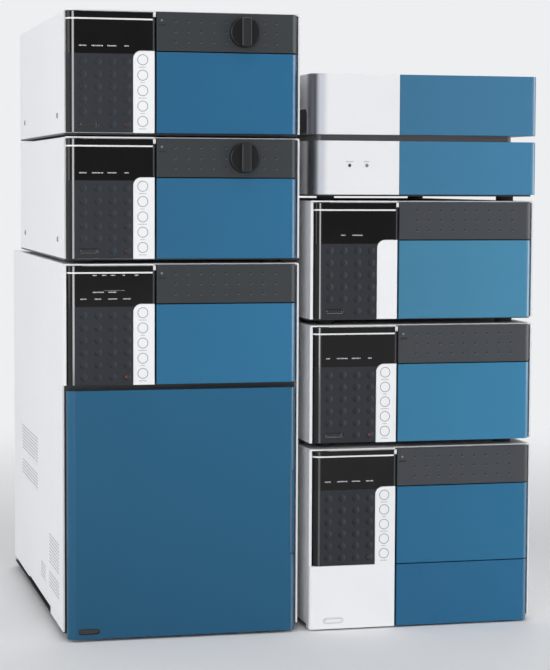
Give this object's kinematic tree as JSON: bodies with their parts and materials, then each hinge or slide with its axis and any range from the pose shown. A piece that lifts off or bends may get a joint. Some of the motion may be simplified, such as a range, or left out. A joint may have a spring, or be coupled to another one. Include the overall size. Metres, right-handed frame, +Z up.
{
  "type": "liquid chromatography system",
  "caption": "Bench liquid-chromatography system: two stacks of modules with hinged key covers and blue doors, pump heads, sampler, column oven and an open bottle tray.",
  "frame": {"origin": "middle of the footprint, on the floor under the feet", "axes": "+X to the right seen from the front, +Y to the back, +Z up; fronts face -Y"},
  "size_m": [0.544, 0.49, 0.6933],
  "materials": {
    "aluminium": "machined",
    "base_grey": "glossy mid grey",
    "bezel_white": "satin white moulding",
    "button_dark": "satin dark grey",
    "button_white": "satin white",
    "case_paint": "satin light-grey powder coat",
    "chassis_steel": "plain sheet steel",
    "cover_dark": "black display half over a dark grey key half",
    "door_blue": "satin grey-blue",
    "door_blue_deep": "satin deep grey-blue",
    "door_blue_light": "satin light grey-blue",
    "inlet_black": "matt black moulding",
    "knob_black": "satin black",
    "rubber_black": "matt black",
    "steel": "machined stainless steel",
    "strip_grey": "satin dark grey",
    "tray_white": "glossy white"
  },
  "bodies": {
    "system": {"pump_1_case": "case_paint", "pump_1_chassis": "chassis_steel", "pump_1_bezel": "bezel_white", "pump_1_vent_strip": "strip_grey", "pump_2_case": "case_paint", "pump_2_chassis": "chassis_steel", "pump_2_bezel": "bezel_white", "pump_2_vent_strip": "strip_grey", "pump_heads": "steel", "autosampler_case": "case_paint", "autosampler_chassis": "chassis_steel", "autosampler_bezel": "bezel_white", "autosampler_vent_strip": "strip_grey", "autosampler_upper_panel": "door_blue", "autosampler_sample_rack": "aluminium", "tray_body": "tray_white", "tray_panel": "door_blue_light", "tray_base": "base_grey", "degasser_case": "tray_white", "degasser_panel": "door_blue_light", "degasser_chassis": "chassis_steel", "controller_case": "case_paint", "controller_chassis": "chassis_steel", "controller_bezel": "bezel_white", "controller_vent_strip": "strip_grey", "controller_panel": "door_blue_light", "detector_case": "case_paint", "detector_chassis": "chassis_steel", "detector_bezel": "bezel_white", "detector_vent_strip": "strip_grey", "detector_flow_cell": "steel", "oven_case": "case_paint", "oven_chassis": "chassis_steel", "oven_bezel": "bezel_white", "oven_vent_strip": "strip_grey", "oven_lower_panel": "door_blue_light", "oven_heater_block": "aluminium", "oven_column": "steel", "rubber_feet": "rubber_black", "mains_inlets": "inlet_black"},
    "pump_1_key_cover": {"pump_1_key_cover": "cover_dark"},
    "pump_1_door": {"pump_1_door": "door_blue"},
    "pump_1_power_button": {"pump_1_power_button": "button_dark"},
    "pump_1_purge_knob": {"pump_1_purge_knob": "knob_black"},
    "pump_2_key_cover": {"pump_2_key_cover": "cover_dark"},
    "pump_2_door": {"pump_2_door": "door_blue"},
    "pump_2_power_button": {"pump_2_power_button": "button_dark"},
    "pump_2_purge_knob": {"pump_2_purge_knob": "knob_black"},
    "autosampler_key_cover": {"autosampler_key_cover": "cover_dark"},
    "autosampler_door": {"autosampler_door": "door_blue_deep"},
    "autosampler_power_button": {"autosampler_power_button": "button_dark"},
    "autosampler_needle_arm": {"autosampler_needle_arm": "aluminium"},
    "controller_key_cover": {"controller_key_cover": "cover_dark"},
    "controller_power_button": {"controller_power_button": "button_dark"},
    "detector_key_cover": {"detector_key_cover": "cover_dark"},
    "detector_door": {"detector_door": "door_blue_light"},
    "detector_power_button": {"detector_power_button": "button_dark"},
    "oven_key_cover": {"oven_key_cover": "cover_dark"},
    "oven_door": {"oven_door": "door_blue_light"},
    "oven_power_button": {"oven_power_button": "button_white"}
  },
  "joints": [
    {"name": "pump_1_key_cover_hinge", "type": "hinge", "parent": "system", "child": "pump_1_key_cover", "pos_m": [-0.2595, -0.221, 0], "axis": [0, 0, -1], "range_deg": [0, 90]},
    {"name": "pump_1_door_hinge", "type": "hinge", "parent": "system", "child": "pump_1_door", "pos_m": [-0.1555, -0.2235, 0.5603], "axis": [0, 0, -1], "range_deg": [0, 90]},
    {"name": "pump_1_power_press", "type": "slide", "parent": "system", "child": "pump_1_power_button", "axis": [0, 1, 0], "range_m": [0, 0.0015], "stiffness_N_per_m": 300, "springref_m": -0.002},
    {"name": "pump_1_purge_turn", "type": "hinge", "parent": "system", "child": "pump_1_purge_knob", "pos_m": [-0.0717, -0.23, 0.6713], "axis": [0, 1, 0], "range_deg": [0, 180]},
    {"name": "pump_2_key_cover_hinge", "type": "hinge", "parent": "system", "child": "pump_2_key_cover", "pos_m": [-0.2595, -0.221, 0], "axis": [0, 0, -1], "range_deg": [0, 90]},
    {"name": "pump_2_door_hinge", "type": "hinge", "parent": "system", "child": "pump_2_door", "pos_m": [-0.1555, -0.2235, 0.423], "axis": [0, 0, -1], "range_deg": [0, 90]},
    {"name": "pump_2_power_press", "type": "slide", "parent": "system", "child": "pump_2_power_button", "axis": [0, 1, 0], "range_m": [0, 0.0015], "stiffness_N_per_m": 300, "springref_m": -0.002},
    {"name": "pump_2_purge_turn", "type": "hinge", "parent": "system", "child": "pump_2_purge_knob", "pos_m": [-0.0717, -0.23, 0.534], "axis": [0, 1, 0], "range_deg": [0, 180]},
    {"name": "autosampler_key_cover_hinge", "type": "hinge", "parent": "system", "child": "autosampler_key_cover", "pos_m": [-0.2595, -0.221, 0], "axis": [0, 0, -1], "range_deg": [0, 90]},
    {"name": "autosampler_door_hinge", "type": "hinge", "parent": "system", "child": "autosampler_door", "pos_m": [-0.2595, -0.221, 0], "axis": [0, 0, -1], "range_deg": [0, 90]},
    {"name": "autosampler_power_press", "type": "slide", "parent": "autosampler_door", "child": "autosampler_power_button", "axis": [0, 1, 0], "range_m": [0, 0.0015], "stiffness_N_per_m": 300, "springref_m": -0.002},
    {"name": "needle_arm_slide", "type": "slide", "parent": "system", "child": "autosampler_needle_arm", "axis": [1, 0, 0], "range_m": [0, 0.15]},
    {"name": "controller_key_cover_hinge", "type": "hinge", "parent": "system", "child": "controller_key_cover", "pos_m": [0.0185, -0.221, 0], "axis": [0, 0, -1], "range_deg": [0, 90]},
    {"name": "controller_power_press", "type": "slide", "parent": "system", "child": "controller_power_button", "axis": [0, 1, 0], "range_m": [0, 0.0015], "stiffness_N_per_m": 300, "springref_m": -0.002},
    {"name": "detector_key_cover_hinge", "type": "hinge", "parent": "system", "child": "detector_key_cover", "pos_m": [0.0185, -0.221, 0], "axis": [0, 0, -1], "range_deg": [0, 90]},
    {"name": "detector_door_hinge", "type": "hinge", "parent": "system", "child": "detector_door", "pos_m": [0.1225, -0.2235, 0.214], "axis": [0, 0, -1], "range_deg": [0, 90]},
    {"name": "detector_power_press", "type": "slide", "parent": "system", "child": "detector_power_button", "axis": [0, 1, 0], "range_m": [0, 0.0015], "stiffness_N_per_m": 300, "springref_m": -0.002},
    {"name": "oven_key_cover_hinge", "type": "hinge", "parent": "system", "child": "oven_key_cover", "pos_m": [0.0185, -0.221, 0], "axis": [0, 0, -1], "range_deg": [0, 90]},
    {"name": "oven_door_hinge", "type": "hinge", "parent": "system", "child": "oven_door", "pos_m": [0.1225, -0.2235, 0.074], "axis": [0, 0, -1], "range_deg": [0, 90]},
    {"name": "oven_power_press", "type": "slide", "parent": "system", "child": "oven_power_button", "axis": [0, 1, 0], "range_m": [0, 0.0015], "stiffness_N_per_m": 300, "springref_m": -0.002}
  ]
}
